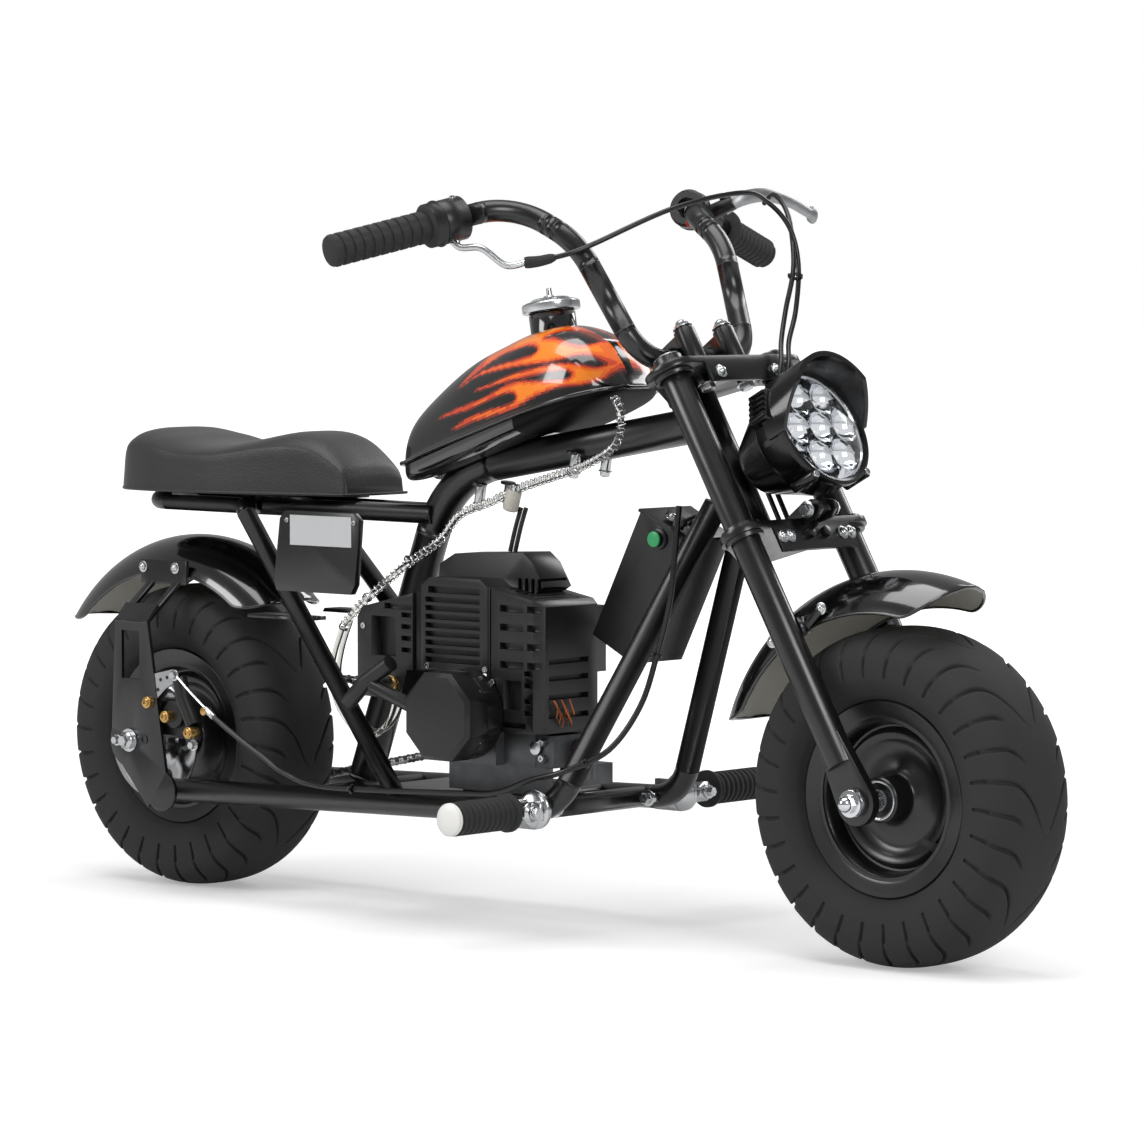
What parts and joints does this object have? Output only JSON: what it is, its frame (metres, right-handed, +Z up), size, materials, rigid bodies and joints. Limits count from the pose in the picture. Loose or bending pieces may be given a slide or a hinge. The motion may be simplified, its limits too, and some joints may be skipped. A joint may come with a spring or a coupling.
{
  "type": "kids mini motorcycle",
  "caption": "Small two-wheeled petrol minibike for a child: tube frame, pull-start engine, fat tyres, long seat, teardrop tank, tall handlebar and round headlight.",
  "frame": {"origin": "the middle of the seat's dip, on top, where the rider sits", "axes": "+X forward, +Y to the rider's left, +Z up, with both wheels on a level floor below"},
  "size_m": [1.3244, 0.6734, 0.752],
  "materials": {
    "frame_paint": "satin black powder coat",
    "gloss_paint": "gloss black paint",
    "vinyl": "black seat vinyl with fine grain",
    "black_plastic": "moulded black plastic",
    "cast_metal": "die-cast aluminium",
    "zinc_steel": "bright zinc plate",
    "disc_steel": "ground steel",
    "hose": "clear flexible tube",
    "cable_rubber": "black cable sheath",
    "grip_rubber": "black rubber",
    "lens": "clear lens",
    "tyre_rubber": "black tyre rubber",
    "rim_paint": "satin black paint"
  },
  "bodies": {
    "frame": {"backbone": "frame_paint", "cradle_right": "frame_paint", "cradle_left": "frame_paint", "cross_members": "frame_paint", "seat_rails": "frame_paint", "seat_stays": "frame_paint", "dropout_right": "frame_paint", "dropout_left": "frame_paint", "seat": "vinyl", "fuel_tank": "gloss_paint", "fuel_cap": "black_plastic", "rear_fender": "gloss_paint", "rear_fender_bracket": "frame_paint", "engine_block": "cast_metal", "engine_shroud": "black_plastic", "pull_starter": "black_plastic", "air_box": "black_plastic", "exhaust": "zinc_steel", "control_box": "black_plastic", "side_panel": "black_plastic", "rear_axle": "zinc_steel", "brake_caliper": "cast_metal", "chain": "zinc_steel", "peg_mounts": "zinc_steel", "fuel_hose": "hose", "frame_cables": "cable_rubber"},
    "fork": {"fork_legs": "frame_paint", "upper_clamp": "frame_paint", "lower_clamp": "frame_paint", "handlebar": "frame_paint", "bar_risers": "frame_paint", "grips": "grip_rubber", "throttle": "black_plastic", "brake_lever": "cast_metal", "headlight": "black_plastic", "headlight_lens": "lens", "headlight_bracket": "frame_paint", "front_fender": "gloss_paint", "front_fender_bracket": "frame_paint", "front_axle": "zinc_steel", "bar_cables": "cable_rubber"},
    "front_wheel": {"front_tyre": "tyre_rubber", "front_rim": "rim_paint"},
    "rear_wheel": {"rear_tyre": "tyre_rubber", "rear_rim": "rim_paint", "brake_disc": "disc_steel", "rear_sprocket": "zinc_steel"},
    "peg_right": {"footpeg_right": "grip_rubber"},
    "peg_left": {"footpeg_left": "grip_rubber"}
  },
  "joints": [
    {"name": "steering", "type": "hinge", "parent": "frame", "child": "fork", "pos_m": [0.71653, 0, -0.09422], "axis": [-0.5, 0, 0.866], "range_deg": [-35, 35]},
    {"name": "front_wheel", "type": "hinge", "parent": "fork", "child": "front_wheel", "pos_m": [0.9, 0, -0.322], "axis": [0, 1, 0], "continuous": true},
    {"name": "rear_wheel", "type": "hinge", "parent": "frame", "child": "rear_wheel", "pos_m": [-0.08, 0, -0.322], "axis": [0, 1, 0], "continuous": true},
    {"name": "peg_right", "type": "hinge", "parent": "frame", "child": "peg_right", "pos_m": [0.514, -0.134, -0.354], "axis": [-1, 0, 0], "range_deg": [0, 60]},
    {"name": "peg_left", "type": "hinge", "parent": "frame", "child": "peg_left", "pos_m": [0.514, 0.134, -0.354], "axis": [1, 0, 0], "range_deg": [0, 60]}
  ]
}
